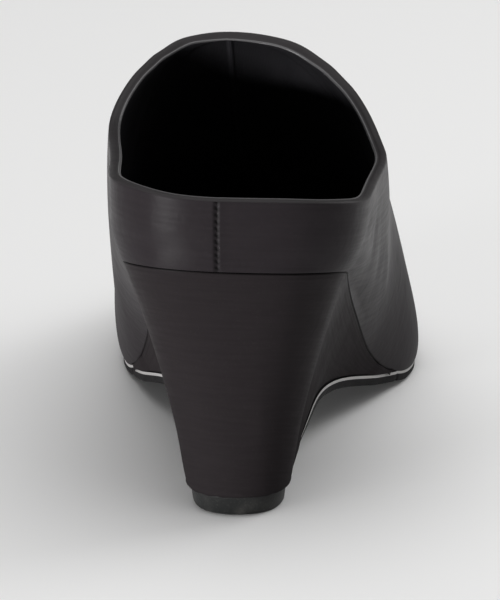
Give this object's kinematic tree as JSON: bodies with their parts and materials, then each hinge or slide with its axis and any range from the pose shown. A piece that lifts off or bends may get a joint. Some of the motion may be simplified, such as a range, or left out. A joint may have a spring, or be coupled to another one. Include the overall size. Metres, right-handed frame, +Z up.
{
  "type": "pointed toe mule",
  "caption": "Hollow pointed toe wedge mule with a low band round the heel, a covered tapering wedge heel, a thin sole and a rubber heel tip",
  "frame": {"origin": "on the floor, in the flat bottom of the heel tip, at the tip's middle from side to side", "axes": "+Y towards the toe, +X to the lateral side of the right foot, +Z up"},
  "size_m": [0.0821, 0.2419, 0.0954],
  "materials": {
    "upper": "black satin",
    "insole": "black covered sock",
    "wedge": "black satin over a block",
    "outsole": "smooth black sole",
    "top_piece": "matte black rubber"
  },
  "bodies": {
    "root": {"upper": "upper", "insole": "insole", "wedge": "wedge", "outsole": "outsole", "top_piece": "top_piece"}
  },
  "joints": []
}
